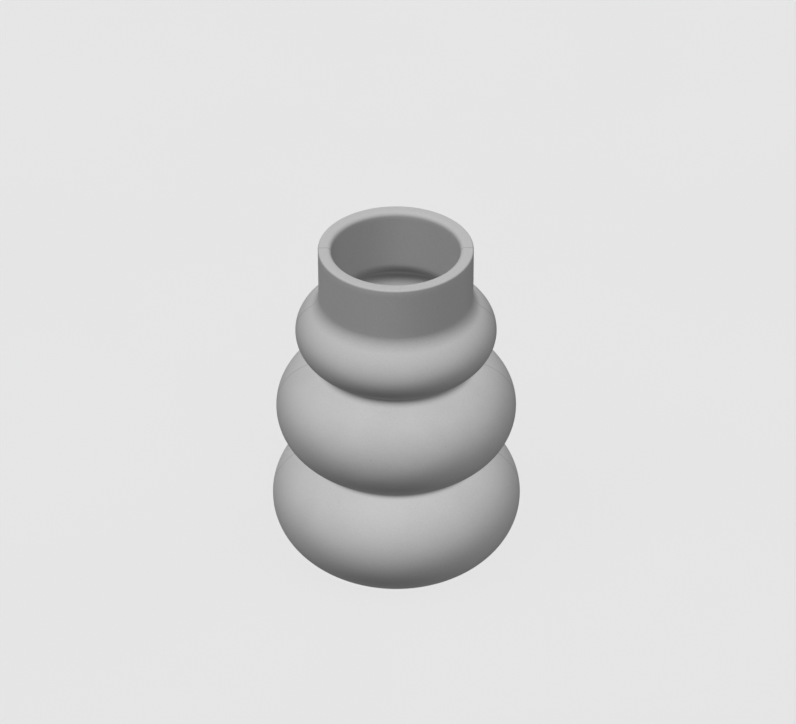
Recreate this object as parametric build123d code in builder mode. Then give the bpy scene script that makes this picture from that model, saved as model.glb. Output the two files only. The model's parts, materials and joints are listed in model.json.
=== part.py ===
from build123d import *
from math import sqrt
import os

# A three-lobed plaster slip-casting mould for a vase, in millimetres.
#
# The mould is an even plaster shell that follows the vase it casts. It splits on the plane y = 0 into a
# front half (-Y) and a back half (+Y), which close round a flanged foot plug. Pairs of natches, a pegged
# pin in the front half and a cupped socket in the back half, bring the two halves together in line.
# The origin is the middle of the underside, with +Z up through the mouth.

os.makedirs("parts", exist_ok=True)

# Plaster wall
WALL = 14.5              # thickness of the shell, apart from a fuller corner under the neck
FLOOR_THICKNESS = 16.0   # plaster under the cavity

# Lobes from the foot up, each a turned ellipse: its largest radius from the axis, and the ellipse's
# half width and half height
LOWER_RADIUS, LOWER_HALF_WIDTH, LOWER_HALF_HEIGHT = 139.3, 93.2, 75.5
MIDDLE_RADIUS, MIDDLE_HALF_WIDTH, MIDDLE_HALF_HEIGHT = 132.9, 66.1, 59.2
UPPER_RADIUS, UPPER_HALF_WIDTH, UPPER_HALF_HEIGHT = 110.0, 56.4, 41.0

# How the lobes are stacked
FOOT_TRIM = 13.7         # height cut off the lower lobe's ellipse to make the flat foot
LOWER_NESTING = 14.2     # how far the middle ellipse sinks into the lower one
UPPER_NESTING = 0.0      # how far the upper ellipse sinks into the middle one
LOWER_WAIST_BLEND = 4.8  # radius of the groove between the lower and the middle lobe
UPPER_WAIST_BLEND = 7.0  # radius of the groove between the middle and the upper lobe

# Neck
NECK_RADIUS = 84.0
NECK_LENGTH = 64.8       # from the top of the upper ellipse to the rim
NECK_OUTER_BLEND = 21.0  # radius between the neck and the upper lobe, outside
NECK_INNER_BLEND = 22.0  # the same inside the cavity, where it rounds the corner under the neck
RIM_OUTER_ROUNDING = 2.0
RIM_INNER_ROUNDING = 5.0

# Foot plug
PLUG_LIP = 12.0          # how far the flange stands out over the ledge in the two halves
PLUG_LIP_HEIGHT = 9.0    # height of the flange's underside
PLUG_BOSS_BORDER = 14.0  # flat ring round the boss that hollows the foot of the cast
PLUG_BOSS_HEIGHT = 3.0
PLUG_CLEARANCE = 0.3     # gap between the plug and the two halves
EDGE_ROUNDING = 1.2      # broken edges round the underside

# Natches
NATCH_RADIUS = 4.0
NATCH_LENGTH = 10.0
NATCH_GROOVE_DEPTH = 0.6
NATCH_GROOVE_WIDTH = 1.6
NATCH_POCKET_CLEARANCE = 0.05
PEG_RADIUS = 2.9         # at its root, on the parting face
PEG_TIP_RADIUS = 1.6
PEG_LENGTH = 4.2
PEG_TIP_ROUNDING = 1.2
PEG_CLEARANCE = 0.35     # between the peg and the socket's cup

# Heights that follow from the stack
lower_height = LOWER_HALF_HEIGHT - FOOT_TRIM
middle_height = lower_height + LOWER_HALF_HEIGHT + MIDDLE_HALF_HEIGHT - LOWER_NESTING
upper_height = middle_height + MIDDLE_HALF_HEIGHT + UPPER_HALF_HEIGHT - UPPER_NESTING
rim_height = upper_height + UPPER_HALF_HEIGHT + NECK_LENGTH

LOBES = [
    (LOWER_RADIUS, LOWER_HALF_WIDTH, LOWER_HALF_HEIGHT, lower_height),
    (MIDDLE_RADIUS, MIDDLE_HALF_WIDTH, MIDDLE_HALF_HEIGHT, middle_height),
    (UPPER_RADIUS, UPPER_HALF_WIDTH, UPPER_HALF_HEIGHT, upper_height),
]


def lobe_radius_at(lobe, inset, height):
    """Radius of a lobe's surface at a height, at a depth under the outside."""
    radius, half_width, half_height, centre_height = lobe
    drop = (height - centre_height) / (half_height - inset)
    return radius - half_width + (half_width - inset) * sqrt(1 - drop**2)


def surface_outline(inset, foot, neck_blend):
    """Edges of half an upright section from the foot's height up to the rim, at a depth under the outside."""
    curves = []
    for radius, half_width, half_height, centre_height in LOBES:
        centre = Plane((radius - half_width, centre_height, 0))
        sizes = (half_width - inset, half_height - inset)
        curves.append(Edge.make_ellipse(*sizes, plane=centre, start_angle=-89.9, end_angle=89.9))
    neck_radius = NECK_RADIUS - inset
    curves.append(Edge.make_line((neck_radius, upper_height), (neck_radius, rim_height)))
    start = (lobe_radius_at(LOBES[0], inset, foot), foot)
    blends = [LOWER_WAIST_BLEND + inset, UPPER_WAIST_BLEND + inset, neck_blend]
    edges = []
    for lower, upper, blend in zip(curves, curves[1:], blends):
        arcs = Edge.make_constrained_arcs(lower, upper, radius=blend)
        arc = max(arcs, key=lambda edge: edge.arc_center.X)
        low_end, high_end = sorted([arc @ 0, arc @ 1], key=lambda point: point.Y)
        edges += [lower.trim(start, low_end), arc]
        start = high_end
    edges.append(Edge.make_line(start, curves[-1] @ 1))
    return edges


cavity_floor_radius = lobe_radius_at(LOBES[0], WALL, FLOOR_THICKNESS)
flange_radius = cavity_floor_radius - PLUG_CLEARANCE
plug_radius = flange_radius - PLUG_LIP

# Half an upright section through the plaster of the two halves
with BuildSketch() as shell_section:
    with BuildLine():
        outside = surface_outline(0, 0, NECK_OUTER_BLEND)
        add(outside)
        Polyline(outside[-1] @ 1, (0, rim_height), (0, 0), outside[0] @ 0)
    make_face()
    with BuildLine():
        cavity = surface_outline(WALL, FLOOR_THICKNESS, NECK_INNER_BLEND)
        add(cavity)
        Polyline(cavity[-1] @ 1, (0, rim_height), (0, FLOOR_THICKNESS), cavity[0] @ 0)
    make_face(mode=Mode.SUBTRACT)
    # seat of the foot plug: its shaft, then its flange
    seat_radius = plug_radius + PLUG_CLEARANCE
    ledge_height = PLUG_LIP_HEIGHT - PLUG_CLEARANCE
    Rectangle(seat_radius, ledge_height, align=Align.MIN, mode=Mode.SUBTRACT)
    with Locations((0, ledge_height)):
        flange_seat_height = FLOOR_THICKNESS - ledge_height
        Rectangle(cavity_floor_radius, flange_seat_height, align=Align.MIN, mode=Mode.SUBTRACT)
    rim_corners = shell_section.vertices().group_by(Axis.Y)[-1].sort_by(Axis.X)
    fillet(rim_corners[-1], radius=RIM_OUTER_ROUNDING)
    fillet(rim_corners[0], radius=RIM_INNER_ROUNDING)
    fillet(shell_section.vertices().group_by(Axis.Y)[0], radius=EDGE_ROUNDING)

# Half an upright section through the foot plug
with BuildSketch() as plug_section:
    Rectangle(plug_radius, FLOOR_THICKNESS, align=Align.MIN)
    with Locations((0, PLUG_LIP_HEIGHT)):
        Rectangle(flange_radius, FLOOR_THICKNESS - PLUG_LIP_HEIGHT, align=Align.MIN)
    with Locations((0, FLOOR_THICKNESS)):
        Rectangle(flange_radius - PLUG_BOSS_BORDER, PLUG_BOSS_HEIGHT, align=Align.MIN)
    boss_corner = plug_section.vertices().group_by(Axis.Y)[-1].sort_by(Axis.X)[-1]
    fillet(boss_corner, radius=PLUG_BOSS_HEIGHT * 0.8)
    underside_corner = plug_section.vertices().group_by(Axis.Y)[0].sort_by(Axis.X)[-1]
    fillet(underside_corner, radius=EDGE_ROUNDING)

# Half sections of the natch pieces, with the axis upright and the parting face at height 0
groove_heights = [-NATCH_LENGTH * share for share in (0.5, 0.75)]


def peg_section(gap):
    """Half section of the tapered peg above the parting face, larger all round by a gap."""
    length = PEG_LENGTH + gap
    with BuildSketch() as peg:
        with BuildLine():
            Polyline((0, 0), (PEG_RADIUS + gap, 0), (PEG_TIP_RADIUS + gap, length), (0, length), close=True)
        make_face()
        tip = peg.vertices().group_by(Axis.Y)[-1].sort_by(Axis.X)[-1]
        fillet(tip, radius=PEG_TIP_ROUNDING)
    return peg.sketch


with BuildSketch() as shank_section:
    with Locations((0, -NATCH_LENGTH)):
        Rectangle(NATCH_RADIUS, NATCH_LENGTH, align=Align.MIN)
    with Locations(*[(NATCH_RADIUS, height) for height in groove_heights]):
        Rectangle(2 * NATCH_GROOVE_DEPTH, NATCH_GROOVE_WIDTH, mode=Mode.SUBTRACT)

with BuildSketch() as pin_section:
    add(shank_section.sketch)
    add(peg_section(0))

with BuildSketch() as socket_section:
    add(shank_section.sketch)
    add(mirror(peg_section(PEG_CLEARANCE), about=Plane.XZ, mode=Mode.PRIVATE), mode=Mode.SUBTRACT)

# Natch places on the parting plane: the middle of the wall at the widest height of each lobe, both sides
natch_places = [
    (side * (radius - WALL / 2), centre_height)
    for radius, _, _, centre_height in LOBES
    for side in (-1, 1)
]


def export(piece, name):
    """Label a finished piece and write it out under its node's name."""
    piece.part.label = name
    export_step(piece.part, f"parts/{name}.step")


# Plaster pieces: the two halves are turned from the same section, each through half a turn
for name, side in (("front_half", -1), ("back_half", 1)):
    with BuildPart() as half:
        with BuildSketch(Plane.XZ):
            add(shell_section.sketch)
        revolve(axis=Axis((0, 0, 0), (0, 0, side)), revolution_arc=180)
        with BuildSketch(Plane.XZ):
            with Locations(*natch_places):
                Circle(NATCH_RADIUS + NATCH_POCKET_CLEARANCE)
        extrude(amount=-side * NATCH_LENGTH, mode=Mode.SUBTRACT)
    export(half, name)

with BuildPart() as foot_plug:
    with BuildSketch(Plane.XZ):
        add(plug_section.sketch)
    revolve(axis=Axis.Z)
export(foot_plug, "foot_plug")

# Natches: a pin's peg points to +Y out of the front half, into the cup of the socket behind it
for number, (across, height) in enumerate(natch_places, start=1):
    place = (across, 0, height)

    with BuildPart() as natch_pin:
        with BuildSketch(Plane(place, x_dir=(1, 0, 0), z_dir=(0, 0, 1))):
            add(pin_section.sketch)
        revolve(axis=Axis(place, (0, 1, 0)))
    export(natch_pin, f"natch_pin_{number}")

    with BuildPart() as natch_socket:
        with BuildSketch(Plane(place, x_dir=(1, 0, 0), z_dir=(0, 0, -1))):
            add(socket_section.sketch)
        revolve(axis=Axis(place, (0, 1, 0)))
    export(natch_socket, f"natch_socket_{number}")
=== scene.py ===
# %% [markdown]
# # A plaster slip-casting mould
#
# A potter pours liquid clay into this mould. The plaster drinks the water, a skin of clay stiffens
# against the wall, and the two halves are then pulled off the cast. The mould is an even shell that
# follows the vase, so it shows three lobes and a straight neck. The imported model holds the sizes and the
# moving bodies, so it is loaded first and everything else is placed from it.

# %% Load the frame
import bpy
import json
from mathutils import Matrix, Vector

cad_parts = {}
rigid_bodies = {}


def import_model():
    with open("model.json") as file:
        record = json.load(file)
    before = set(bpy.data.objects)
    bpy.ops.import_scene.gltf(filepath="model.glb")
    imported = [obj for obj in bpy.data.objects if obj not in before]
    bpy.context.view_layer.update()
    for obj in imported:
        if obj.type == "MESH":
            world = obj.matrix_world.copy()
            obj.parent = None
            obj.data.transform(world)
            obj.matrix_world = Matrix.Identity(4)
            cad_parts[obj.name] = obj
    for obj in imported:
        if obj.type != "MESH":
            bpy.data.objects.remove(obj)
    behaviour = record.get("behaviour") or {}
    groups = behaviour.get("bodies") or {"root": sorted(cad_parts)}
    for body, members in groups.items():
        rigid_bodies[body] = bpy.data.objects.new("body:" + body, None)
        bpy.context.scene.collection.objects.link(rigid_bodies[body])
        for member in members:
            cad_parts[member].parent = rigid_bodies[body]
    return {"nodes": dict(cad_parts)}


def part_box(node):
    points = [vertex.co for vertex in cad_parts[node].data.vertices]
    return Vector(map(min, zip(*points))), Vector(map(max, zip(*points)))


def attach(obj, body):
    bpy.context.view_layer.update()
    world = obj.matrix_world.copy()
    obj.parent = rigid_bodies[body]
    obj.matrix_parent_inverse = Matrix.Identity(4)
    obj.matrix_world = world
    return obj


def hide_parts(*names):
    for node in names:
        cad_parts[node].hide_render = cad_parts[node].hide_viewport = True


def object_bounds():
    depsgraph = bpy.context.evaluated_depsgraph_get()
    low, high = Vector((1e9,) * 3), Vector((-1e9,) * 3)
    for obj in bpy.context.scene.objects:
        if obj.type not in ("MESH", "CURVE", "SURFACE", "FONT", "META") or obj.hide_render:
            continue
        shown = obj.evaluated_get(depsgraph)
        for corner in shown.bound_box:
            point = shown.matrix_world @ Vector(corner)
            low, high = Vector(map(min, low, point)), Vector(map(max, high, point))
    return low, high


for leftover in list(bpy.data.objects):
    bpy.data.objects.remove(leftover)
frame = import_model()

import json
from math import asin, atan2, cos, pi, radians, sin

import bmesh
from mathutils import Matrix, Vector

cad_low, cad_high = [list(corner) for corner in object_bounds()]
MM = 0.001
print("CAD box in mm:", [round((high - low) / MM, 1) for low, high in zip(cad_low, cad_high)])

# %% [markdown]
# ## Sizes
#
# Each lobe is part of an ellipse turned round the mould's axis. Three numbers give it: how far it
# reaches from the axis, and the ellipse's half width and half height. Ellipses suit a turned plaster
# model, because a turner works each swelling with one sweep of the tool, fuller in the middle and
# flatter towards the waists.

# %% Sizes of the plaster, in millimetres
WALL = 14.5
FLOOR = 16.0
LOBE_SIZES = [(139.3, 93.2, 75.5), (132.9, 66.1, 59.2), (110.0, 56.4, 41.0)]
FOOT_TRIM = 13.7
NESTING = [14.2, 0.0]
WAIST_BLENDS = [4.8, 7.0]
NECK_RADIUS = 84.0
NECK_OUTER_BLEND = 21.0
NECK_INNER_BLEND = 22.0
RIM_OUTER_ROUNDING = 2.0
RIM_INNER_ROUNDING = 5.0
UNDERSIDE_ROUNDING = 1.2
PLUG_LIP = 12.0
PLUG_LIP_HEIGHT = 9.0
PLUG_GAP = 0.3

RIM_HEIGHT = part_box("front_half")[1][2] / MM

# %% Stack the lobes from the foot up
lobes = []
for reach, half_width, half_height in LOBE_SIZES:
    if lobes:
        below = lobes[-1]
        nesting = NESTING[len(lobes) - 1]
        centre_height = below["height"] + below["b"] + half_height - nesting
    else:
        centre_height = half_height - FOOT_TRIM
    lobes.append({"x": reach - half_width, "height": centre_height, "a": half_width, "b": half_height})
print("lobe heights in mm:", [round(lobe["height"], 1) for lobe in lobes], "rim:", round(RIM_HEIGHT, 1))

# %% [markdown]
# ## The section
#
# A turned shape is one outline swept round an axis, so the outline is worth getting right. Between two
# lobes the plaster has a small round groove. It is the circle that touches both ellipses, and its middle
# lies where the two curves that run one groove radius outside the ellipses cross. Neither curve has a
# simple formula for that crossing, so it is found by halving an interval again and again.

# %% Points on a lobe and on the curve beside it
def lobe_point(lobe, angle, depth=0.0, outside=0.0):
    """A point of the lobe's ellipse, at a depth under the plaster, or as far outside that ellipse."""
    a, b = lobe["a"] - depth, lobe["b"] - depth
    across = Vector((b * cos(angle), a * sin(angle))).normalized()
    return Vector((lobe["x"] + a * cos(angle), lobe["height"] + b * sin(angle))) + outside * across


def halve(low, high, is_high):
    """Closes in on the place between low and high where is_high changes from false to true."""
    for _ in range(50):
        middle = (low + high) / 2
        if is_high(middle):
            high = middle
        else:
            low = middle
    return (low + high) / 2


# %% Where the groove between two lobes touches them
def waist_touch(lower, upper, radius, depth):
    """Angles on the lower and the upper lobe at which their groove starts and ends, and its middle."""
    def upper_angle(x):
        return -halve(0, pi / 2, lambda turn: lobe_point(upper, -turn, depth, radius).x < x)

    def crossed(angle):
        point = lobe_point(lower, angle, depth, radius)
        return point.y > lobe_point(upper, upper_angle(point.x), depth, radius).y

    lower_end = halve(0, pi / 2, crossed)
    middle = lobe_point(lower, lower_end, depth, radius)
    return lower_end, upper_angle(middle.x), middle


# %% [markdown]
# The same outline serves twice. Drawn at depth 0 it is the outside of the plaster, and at the depth of
# the wall it is the cavity, where each groove becomes a ridge with a radius larger by the wall. The
# corner under the neck has a radius of its own outside and inside. Every stretch is divided by its
# length, so the mesh is as fine in the tight grooves as it needs to be and no finer.

# %% Draw the outline from the foot to the neck
STEP_MM = 2.6


def stretch(point_at, start, end, step=STEP_MM):
    """Points along a curve from one parameter to another, about one step apart, without the last."""
    rough = [point_at(start + (end - start) * i / 32) for i in range(33)]
    length = sum((b - a).length for a, b in zip(rough, rough[1:]))
    count = max(6, round(length / step))
    return [point_at(start + (end - start) * i / count) for i in range(count)]


def arc_between(middle, radius, first, last):
    """Points of a groove's arc, hollow side away from the axis, from one touching point to the next."""
    start, end = [atan2(touch.y - middle.y, middle.x - touch.x) for touch in (first, last)]
    return stretch(lambda turn: middle + radius * Vector((-cos(turn), sin(turn))), start, end, step=1.2)


def outline(depth, foot_height, neck_blend):
    """Outline of the outside (depth 0) or of the cavity (depth of the wall), as points in millimetres."""
    lowest = lobes[0]
    angle = asin((foot_height - lowest["height"]) / (lowest["b"] - depth))
    points = []
    for lower, upper, blend in zip(lobes, lobes[1:], WAIST_BLENDS):
        radius = blend + depth
        lower_end, upper_start, middle = waist_touch(lower, upper, radius, depth)
        points += stretch(lambda turn: lobe_point(lower, turn, depth), angle, lower_end)
        points += arc_between(
            middle, radius, lobe_point(lower, lower_end, depth), lobe_point(upper, upper_start, depth)
        )
        angle = upper_start
    top, radius = lobes[-1], neck_blend
    neck = NECK_RADIUS - depth
    top_end = halve(0, pi / 2, lambda turn: lobe_point(top, turn, depth, radius).x < neck + radius)
    middle = lobe_point(top, top_end, depth, radius)
    points += stretch(lambda turn: lobe_point(top, turn, depth), angle, top_end)
    points += arc_between(middle, radius, lobe_point(top, top_end, depth), Vector((neck, middle.y)))
    straight = round((RIM_HEIGHT - middle.y) / 8)
    points += [Vector((neck, middle.y + (RIM_HEIGHT - middle.y) * i / straight)) for i in range(straight)]
    return points + [Vector((neck, RIM_HEIGHT))]


outside = outline(0, 0, NECK_OUTER_BLEND)
cavity = outline(WALL, FLOOR, NECK_INNER_BLEND)
cavity_floor_radius = cavity[0].x
plug_radius = cavity_floor_radius - PLUG_GAP - PLUG_LIP
print(len(outside), "points outside,", len(cavity), "in the cavity, whose floor has a radius of")
print(round(cavity_floor_radius, 2), "mm")

# %% [markdown]
# ## Plaster halves
#
# A closed section of the wall is made once as a ring of vertices: up the outside, over the rim, down the
# cavity, and round the seat that grips the foot plug. Its sharp corners are rounded with a vertex bevel
# while it is still a flat ring, because there a bevel is exact and cheap.

# %% A flat ring of vertices with rounded corners
def section_ring(points, roundings):
    """A closed ring in the plane y = 0, with each corner {index: radius} of it rounded, in mm."""
    mesh = bmesh.new()
    verts = [mesh.verts.new((point[0] * MM, 0, point[1] * MM)) for point in points]
    for first, second in zip(verts, verts[1:] + verts[:1]):
        mesh.edges.new((first, second))
    for index, radius in roundings.items():
        bmesh.ops.bevel(
            mesh, geom=[verts[index]], offset=radius * MM, offset_type="OFFSET", segments=5,
            profile=0.5, affect="VERTICES", material=-1, clamp_overlap=True,
        )
    return mesh


# %% The section through one half
ledge_height = PLUG_LIP_HEIGHT - PLUG_GAP
seat_radius = plug_radius + PLUG_GAP
seat = [(cavity_floor_radius, ledge_height), (seat_radius, ledge_height), (seat_radius, 0)]
half_points = outside + cavity[::-1] + [Vector(corner) for corner in seat]
half_corners = {
    0: UNDERSIDE_ROUNDING,
    len(outside) - 1: RIM_OUTER_ROUNDING,
    len(outside): RIM_INNER_ROUNDING,
    len(half_points) - 1: UNDERSIDE_ROUNDING,
}

# %% [markdown]
# The ring is spun through half a turn for each half. At the two ends it leaves flat parting faces. A
# plaster edge is never knife sharp, because it crumbles, so each parting face is inset by a fraction of
# a millimetre and its old border moved back: that makes the fine groove where the closed halves meet.

# %% Close a parting face, with its soft edge and its natch pockets
HALF_STEPS = 128
SEAM_CHAMFER = 0.5
NATCH_POCKET_RADIUS = 4.05
NATCH_LENGTH = 10.0
natch_places = [(lobe["x"] + lobe["a"] - WALL / 2, lobe["height"]) for lobe in lobes]


def close_parting_face(mesh, ring, side, across):
    """Fills the ring of edges in the plane y = 0 and sinks the pockets; side is +1 at +X and -1 at -X."""
    filled = bmesh.ops.triangle_fill(mesh, use_beauty=True, use_dissolve=True, edges=ring)
    faces = [item for item in filled["geom"] if isinstance(item, bmesh.types.BMFace)]
    border = {vert for edge in ring for vert in edge.verts}
    bmesh.ops.inset_region(
        mesh, faces=faces, thickness=SEAM_CHAMFER * MM, use_boundary=True, use_even_offset=True
    )
    faces = [face for face in faces if face.is_valid]
    inner = [edge for face in faces for edge in face.edges if sum(f in faces for f in edge.link_faces) == 1]
    bmesh.ops.delete(mesh, geom=faces, context="FACES")
    inner = [edge for edge in inner if edge.is_valid]
    bmesh.ops.translate(mesh, verts=list(border), vec=(0, across * SEAM_CHAMFER * MM, 0))
    mouths = []
    for reach, height in natch_places:
        place = Matrix.Translation((side * reach * MM, 0, height * MM)) @ Matrix.Rotation(pi / 2, 4, "X")
        circle = bmesh.ops.create_circle(
            mesh, cap_ends=False, segments=40, radius=NATCH_POCKET_RADIUS * MM, matrix=place
        )
        mouths.append(list({edge for vert in circle["verts"] for edge in vert.link_edges}))
    bmesh.ops.triangle_fill(mesh, use_beauty=True, use_dissolve=False, edges=inner + sum(mouths, []))
    for mouth in mouths:
        pocket = bmesh.ops.extrude_edge_only(mesh, edges=mouth)["geom"]
        bottom = [item for item in pocket if isinstance(item, bmesh.types.BMVert)]
        bmesh.ops.translate(mesh, verts=bottom, vec=(0, across * NATCH_LENGTH * MM, 0))
        rim = [item for item in pocket if isinstance(item, bmesh.types.BMEdge)]
        bmesh.ops.edgeloop_fill(mesh, edges=[edge for edge in rim if all(v in bottom for v in edge.verts)])


# %% Turn a section into a finished piece
def finish_piece(mesh, name, body):
    """Welds a bmesh, points its faces outwards and hands it to the frame as a piece on a body."""
    bmesh.ops.remove_doubles(mesh, verts=mesh.verts, dist=0.00001)
    bmesh.ops.recalc_face_normals(mesh, faces=mesh.faces)
    open_edges = sum(not edge.is_manifold for edge in mesh.edges)
    data = bpy.data.meshes.new(name)
    mesh.to_mesh(data)
    mesh.free()
    piece = bpy.data.objects.new(name, data)
    bpy.context.scene.collection.objects.link(piece)
    data.shade_smooth()
    data.set_sharp_from_angle(angle=radians(40))
    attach(piece, body)
    print(name, len(data.polygons), "faces,", open_edges, "open edges")
    return piece


def make_half(name, body, across):
    """One half of the shell; across is -1 for the front, which lies on -Y, and +1 for the back."""
    mesh = section_ring(half_points, half_corners)
    start = list(mesh.edges)
    spun = bmesh.ops.spin(
        mesh, geom=list(mesh.verts) + start, cent=(0, 0, 0), axis=(0, 0, 1), dvec=(0, 0, 0),
        angle=across * pi, space=Matrix.Identity(4), steps=HALF_STEPS, use_merge=False,
        use_normal_flip=False, use_duplicate=False,
    )
    end = [item for item in spun["geom_last"] if isinstance(item, bmesh.types.BMEdge)]
    close_parting_face(mesh, start, 1, across)
    close_parting_face(mesh, end, -1, across)
    piece = finish_piece(mesh, name + "_plaster", body)
    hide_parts(name)
    return piece


front_half = make_half("front_half", "front", -1)
back_half = make_half("back_half", "back", 1)

# %% [markdown]
# ## Foot plug
#
# The third piece of plaster closes the cavity. Its flange sits in a groove of the two halves, so it
# can't drop out, and its low boss hollows the foot of the cast. It is the same kind of turned piece, so
# its section gets a full spin.

# %% The plug from a half section spun all the way round
BOSS_BORDER = 14.0
BOSS_HEIGHT = 3.0

flange_radius = cavity_floor_radius - PLUG_GAP
boss_radius = flange_radius - BOSS_BORDER
boss_top = FLOOR + BOSS_HEIGHT
plug_points = [
    (0, 0), (plug_radius, 0), (plug_radius, PLUG_LIP_HEIGHT), (flange_radius, PLUG_LIP_HEIGHT),
    (flange_radius, FLOOR), (boss_radius, FLOOR), (boss_radius, boss_top), (0, boss_top),
]
plug_corners = {1: UNDERSIDE_ROUNDING, 3: 0.5, 4: 0.5, 6: 0.8 * BOSS_HEIGHT}

plug_mesh = section_ring(plug_points, plug_corners)
axis_edges = [edge for edge in plug_mesh.edges if all(abs(vert.co.x) < 1e-6 for vert in edge.verts)]
bmesh.ops.delete(plug_mesh, geom=axis_edges, context="EDGES")
bmesh.ops.spin(
    plug_mesh, geom=list(plug_mesh.verts) + list(plug_mesh.edges), cent=(0, 0, 0), axis=(0, 0, 1),
    dvec=(0, 0, 0), angle=2 * pi, space=Matrix.Identity(4), steps=2 * HALF_STEPS, use_merge=True,
    use_normal_flip=False, use_duplicate=False,
)
foot_plug = finish_piece(plug_mesh, "foot_plug_plaster", "foot")
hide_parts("foot_plug")

# %% [markdown]
# ## Materials
#
# Colours are written as the hex values of a paint chart. Those are sRGB, and Blender mixes light in
# linear values, so one function turns one into the other.

# %% Colour and node helpers
def colour(code):
    """Linear RGBA from an sRGB hex code."""
    shares = [int(code[i:i + 2], 16) / 255 for i in (1, 3, 5)]
    linear = [share / 12.92 if share <= 0.04045 else ((share + 0.055) / 1.055) ** 2.4 for share in shares]
    return (*linear, 1.0)


def add_node(tree, kind, settings=None, inputs=None):
    """Adds a node, sets its properties, and fills or links its inputs, named or numbered."""
    node = tree.nodes.new(kind)
    for name, value in (settings or {}).items():
        setattr(node, name, value)
    for name, value in (inputs or {}).items():
        if isinstance(value, bpy.types.NodeSocket):
            tree.links.new(value, node.inputs[name])
        else:
            node.inputs[name].default_value = value
    return node


def new_material(name, preview):
    """An empty node material with a Principled shader, and the coordinates of the piece it is on."""
    material = bpy.data.materials.new(name)
    material.use_nodes = True
    material.diffuse_color = colour(preview)
    tree = material.node_tree
    place = add_node(tree, "ShaderNodeTexCoord").outputs["Object"]
    return material, tree, tree.nodes["Principled BSDF"], place


def ramp(tree, value, low, high, dark, light):
    """Turns a value between low and high into a number from dark to light, smoothly."""
    inputs = {"Value": value, "From Min": low, "From Max": high, "To Min": dark, "To Max": light}
    settings = {"interpolation_type": "SMOOTHSTEP"}
    return add_node(tree, "ShaderNodeMapRange", settings, inputs).outputs["Result"]


def noise(tree, place, size_mm, detail=2.0):
    """A noise whose patches are about size_mm across."""
    inputs = {"Vector": place, "Scale": 1 / (size_mm * MM), "Detail": detail}
    return add_node(tree, "ShaderNodeTexNoise", None, inputs).outputs["Fac"]


# %% [markdown]
# The two edges beside the seam are painted darker: painted shade, for the shade in the fine groove where
# the halves meet. That makes the parting line show as a hairline when the halves are shut. The shade is a
# factor that falls off with the distance from the plane y = 0. The parting faces lie in that plane too, so
# where the surface faces along Y the painted shade is lifted and they keep nearly their full tone.

# %% Painted shade along the seam
SEAM_SHADE_CORE = 0.2
SEAM_SHADE_REACH = 1.0
PARTING_FACE_TONE = 0.96


def size_along_y(tree, vector):
    """The Y part of a vector, without its sign."""
    part = add_node(tree, "ShaderNodeSeparateXYZ", None, {"Vector": vector}).outputs["Y"]
    return add_node(tree, "ShaderNodeMath", {"operation": "ABSOLUTE"}, {0: part}).outputs[0]


def painted_seam_shade(tree, place, seam_shade_tone):
    """A painted shade: a factor at the given tone on the edges beside the seam, rising to 1 within a
    millimetre of it.
    """
    edge = ramp(tree, size_along_y(tree, place), SEAM_SHADE_CORE * MM, SEAM_SHADE_REACH * MM, seam_shade_tone, 1.0)
    normal = add_node(tree, "ShaderNodeTexCoord").outputs["Normal"]
    face = ramp(tree, size_along_y(tree, normal), 0.8, 0.95, 0.0, PARTING_FACE_TONE)
    return add_node(tree, "ShaderNodeMath", {"operation": "MAXIMUM"}, {0: edge, 1: face}).outputs[0]


# %% [markdown]
# Pottery plaster is gypsum cast from a smooth model. It is dull and chalky, with no gloss, because its
# surface is full of pores. What shows up close is a very fine grain and a few pinholes where air bubbles
# sat against the model, drawn darker inside as painted shade. The colour also holds a painted shade that
# darkens it from the foot towards the neck, as if less light reached the top, with faint cloudy patches
# in it. All of it is weak: a good mould looks nearly even from a step away. Real grain is finer than
# 0.1 mm, so it is drawn at 1.6 mm, where it can be seen.

# %% Cast pottery plaster
# The painted shade towards the neck starts at 40 mm and is full above 320 mm.
SHADE_FROM = 40.0
SHADE_FULL_ABOVE = 320.0
CLOUD_SIZE = 50.0
CLOUD_SHIFT = 45.0
GRAIN_SIZE = 1.6
LARGEST_PINHOLE = 0.65
PLASTER_IOR = 1.52


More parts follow.
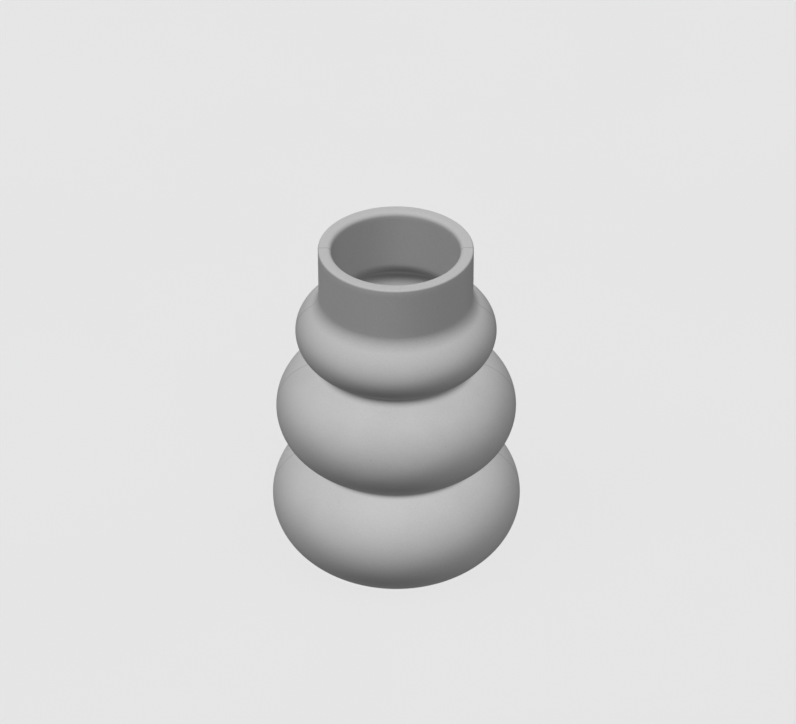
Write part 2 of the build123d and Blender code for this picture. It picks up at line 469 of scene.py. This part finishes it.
def cast_plaster(name, foot_tone, shaded_neck_tone, pinhole_spacing_mm, seam_shade_tone):
    """Grey gypsum plaster, with a painted shade from its foot tone to a darker tone at the neck."""
    material, tree, shader, place = new_material(name, foot_tone)
    # Painted shade: the colour darkens from the foot towards the neck, as if less light reached the top.
    height = add_node(tree, "ShaderNodeSeparateXYZ", None, {"Vector": place}).outputs["Z"]
    clouds = ramp(tree, noise(tree, place, CLOUD_SIZE, 3.0), 0.3, 0.7, -CLOUD_SHIFT * MM, CLOUD_SHIFT * MM)
    uneven = add_node(tree, "ShaderNodeMath", {"operation": "ADD"}, {0: height, 1: clouds}).outputs[0]
    painted_neck_shade = ramp(tree, uneven, SHADE_FROM * MM, SHADE_FULL_ABOVE * MM, 0.0, 1.0)
    mixed = add_node(
        tree, "ShaderNodeMix", {"data_type": "RGBA"}, {0: painted_neck_shade, 6: colour(foot_tone), 7: colour(shaded_neck_tone)}
    ).outputs[2]
    grain = noise(tree, place, GRAIN_SIZE, 4.0)
    speckle = ramp(tree, grain, 0.3, 0.7, 0.97, 1.03)
    bubbles = add_node(
        tree, "ShaderNodeTexVoronoi", {"feature": "F1"},
        {"Vector": place, "Scale": 1 / (pinhole_spacing_mm * MM), "Randomness": 1.0},
    )
    chance = add_node(tree, "ShaderNodeSeparateColor", None, {"Color": bubbles.outputs["Color"]})
    reach = ramp(tree, chance.outputs["Red"], 0.55, 1.0, 0.0, LARGEST_PINHOLE / pinhole_spacing_mm)
    hole = add_node(
        tree, "ShaderNodeMath", {"operation": "LESS_THAN"}, {0: bubbles.outputs["Distance"], 1: reach}
    ).outputs[0]
    # Painted shade: pinholes are drawn 22 % darker, for the shade inside them; the speckle is the plaster's
    # own grain.
    shade = add_node(
        tree, "ShaderNodeMath", {"operation": "MULTIPLY_ADD"}, {0: hole, 1: -0.22, 2: speckle}
    ).outputs[0]
    # Painted shade along the seam, for the shade in the groove between the halves.
    seam_shaded = add_node(
        tree, "ShaderNodeMath", {"operation": "MULTIPLY"}, {0: shade, 1: painted_seam_shade(tree, place, seam_shade_tone)}
    ).outputs[0]
    tinted = add_node(tree, "ShaderNodeVectorMath", {"operation": "SCALE"}, {0: mixed, "Scale": seam_shaded})
    tree.links.new(tinted.outputs[0], shader.inputs["Base Color"])
    relief = add_node(
        tree, "ShaderNodeMath", {"operation": "MULTIPLY_ADD"}, {0: hole, 1: -3.0, 2: grain}
    ).outputs[0]
    bump = add_node(
        tree, "ShaderNodeBump", None, {"Strength": 0.25, "Distance": 0.1 * MM, "Height": relief}
    )
    tree.links.new(bump.outputs["Normal"], shader.inputs["Normal"])
    rough = ramp(tree, grain, 0.3, 0.7, 0.86, 0.98)
    tree.links.new(rough, shader.inputs["Roughness"])
    shader.inputs["IOR"].default_value = PLASTER_IOR
    shader.inputs["Specular IOR Level"].default_value = 0.04
    return material


# B7B7B7 is the painted shade at the neck, #C1C1C1 the tone at the foot.
shell_plaster = cast_plaster("cast_pottery_plaster", "#C1C1C1", "#B7B7B7", 9, seam_shade_tone=0.72)
# The halves take a painted seam shade of 0.72 above; the plug, which has no seam, takes none.
plug_plaster = cast_plaster("foot_plug_plaster", "#C1C1C1", "#B7B7B7", 9, seam_shade_tone=1.0)
for piece in (front_half, back_half):
    piece.data.materials.append(shell_plaster)
foot_plug.data.materials.append(plug_plaster)

# %% [markdown]
# Mould natches are sold as pairs of small moulded plastic plugs. The plastic is a hard ivory
# polypropylene with a faint sheen and soft cloudy tone.

# %% Ivory polypropylene for the natches
def moulded_polypropylene():
    """Ivory natch plastic, with slow changes of tone and a fine moulded texture."""
    material, tree, shader, place = new_material("moulded_polypropylene", "#DCD8C6")
    tone = ramp(tree, noise(tree, place, 5, 2.0), 0.3, 0.7, 0.0, 1.0)
    mixed = add_node(
        tree, "ShaderNodeMix", {"data_type": "RGBA"}, {0: tone, 6: colour("#DCD8C6"), 7: colour("#D3CDB8")}
    )
    tree.links.new(mixed.outputs[2], shader.inputs["Base Color"])
    skin = noise(tree, place, 0.4, 2.0)
    bump = add_node(tree, "ShaderNodeBump", None, {"Strength": 0.15, "Distance": 0.03 * MM, "Height": skin})
    tree.links.new(bump.outputs["Normal"], shader.inputs["Normal"])
    tree.links.new(ramp(tree, skin, 0.3, 0.7, 0.38, 0.5), shader.inputs["Roughness"])
    shader.inputs["IOR"].default_value = 1.49
    return material


natch_plastic = moulded_polypropylene()
for name, node in frame["nodes"].items():
    if name.startswith("natch"):
        node.data.materials.clear()
        node.data.materials.append(natch_plastic)

# %% [markdown]
# ## Studio
#
# The floor is a wide pale sheet, so large that its far edge never shows. It throws no light of its own
# back onto the plaster: how bright the undersides are is set by a lamp below, which is easier to judge.

# %% Floor
FLOOR_SIZE = 24.0
FLOOR_DROP = 0.2

floor_mesh = bmesh.new()
bmesh.ops.create_grid(floor_mesh, x_segments=1, y_segments=1, size=FLOOR_SIZE / 2)
floor_data = bpy.data.meshes.new("studio_floor")
floor_mesh.to_mesh(floor_data)
floor_mesh.free()
studio_floor = bpy.data.objects.new("studio_floor", floor_data)
bpy.context.scene.collection.objects.link(studio_floor)
studio_floor.location.z = cad_low[2] - FLOOR_DROP * MM
studio_floor.visible_diffuse = False

paper, paper_tree, paper_shader, paper_place = new_material("pale_background_paper", "#E2E2E2")
paper_tone = ramp(paper_tree, noise(paper_tree, paper_place, 400, 2.0), 0.3, 0.7, 0.0, 1.0)
paper_mix = add_node(
    paper_tree, "ShaderNodeMix", {"data_type": "RGBA"},
    {0: paper_tone, 6: colour("#E2E2E2"), 7: colour("#E3E3E3")},
)
paper_tree.links.new(paper_mix.outputs[2], paper_shader.inputs["Base Color"])
paper_shader.inputs["Roughness"].default_value = 1.0
paper_shader.inputs["Specular IOR Level"].default_value = 0.0
floor_data.materials.append(paper)

# %% [markdown]
# Two large softboxes stand high on the viewer's left and right, a third stands level behind the mould so
# that its back isn't lost, and light thrown back by the table fills the undersides. Boxes that large
# wrap round the plaster and leave no shadow edge anywhere, so each is a sun lamp that casts none: then
# the brightness of every spot says only which way the plaster faces there. Each lamp is given as the
# brightness that it alone would give to plaster facing it, how high it stands and how far round to the
# right, in degrees.

# %% Softboxes and the bounce from the table
PLASTER_REFLECTS = 0.5
SOFTBOX_SPREAD = 30
SOFTBOXES = {
    "left_softbox": (0.349, 54.6, -62.2),
    "right_softbox": (0.264, 52.4, 48.4),
    "back_softbox": (0.200, 0.0, 180.0),
    "table_bounce": (0.142, -90.0, 0.0),
}

for name, (brightness, elevation, turn_right) in SOFTBOXES.items():
    lamp = bpy.data.lights.new(name, "SUN")
    lamp.energy = brightness * pi / PLASTER_REFLECTS
    lamp.angle = radians(SOFTBOX_SPREAD)
    lamp.use_shadow = False
    softbox = bpy.data.objects.new(name, lamp)
    softbox.rotation_euler = (radians(90 - elevation), 0, radians(turn_right))
    bpy.context.scene.collection.objects.link(softbox)
    print(name, "energy", round(lamp.energy, 3))

# %% [markdown]
# A faint even sky is left over. It reaches every open surface and hardly gets into the grooves and under
# the foot, which is how it grounds the mould. The camera sees a pale backdrop instead of it, past the
# floor's far edge, so a Light Path node chooses between the two. Light isn't passed on from plaster to
# plaster, because between pale lobes that would fill the grooves with a glow that a matte grey mould
# doesn't have.

# %% Sky and backdrop
SKY_BRIGHTNESS = 0.010

world = bpy.data.worlds.new("studio_sky")
world.use_nodes = True
sky = world.node_tree
background = sky.nodes["Background"]
seen = add_node(sky, "ShaderNodeLightPath").outputs["Is Camera Ray"]
backdrop = add_node(sky, "ShaderNodeBackground", None, {"Color": colour("#E6E6E6"), "Strength": 1.0})
background.inputs["Color"].default_value = (1, 1, 1, 1)
background.inputs["Strength"].default_value = SKY_BRIGHTNESS / PLASTER_REFLECTS
choice = add_node(
    sky, "ShaderNodeMixShader", None, {0: seen, 1: background.outputs[0], 2: backdrop.outputs[0]}
)
sky.links.new(choice.outputs[0], sky.nodes["World Output"].inputs["Surface"])
bpy.context.scene.world = world
bpy.context.scene.view_settings.view_transform = "Standard"
bpy.context.scene.cycles.diffuse_bounces = 0

# %% [markdown]
# ## Camera
#
# The mould is seen from well above its mouth with a long lens, as in a product picture, so the rim is a
# narrow ring and the lobes overlap. The lens is long because the lines of the neck hardly run together.

# %% Camera
CAMERA_ELEVATION = 35.07
CAMERA_DISTANCE = 3.85
AIM_HEIGHT = 0.2381
AIM_ACROSS = 0.0021
LENS_MM = 158.3
SENSOR_MM = 36.0
ROLL = -0.12

camera_data = bpy.data.cameras.new("camera")
camera_data.lens = LENS_MM
camera_data.sensor_width = SENSOR_MM
camera = bpy.data.objects.new("camera", camera_data)
tilt = radians(CAMERA_ELEVATION)
camera.location = (
    AIM_ACROSS, -CAMERA_DISTANCE * cos(tilt), AIM_HEIGHT + CAMERA_DISTANCE * sin(tilt)
)
camera.rotation_euler = (
    Matrix.Rotation(pi / 2 - tilt, 3, "X") @ Matrix.Rotation(radians(ROLL), 3, "Z")
).to_euler()
bpy.context.scene.collection.objects.link(camera)
bpy.context.scene.camera = camera
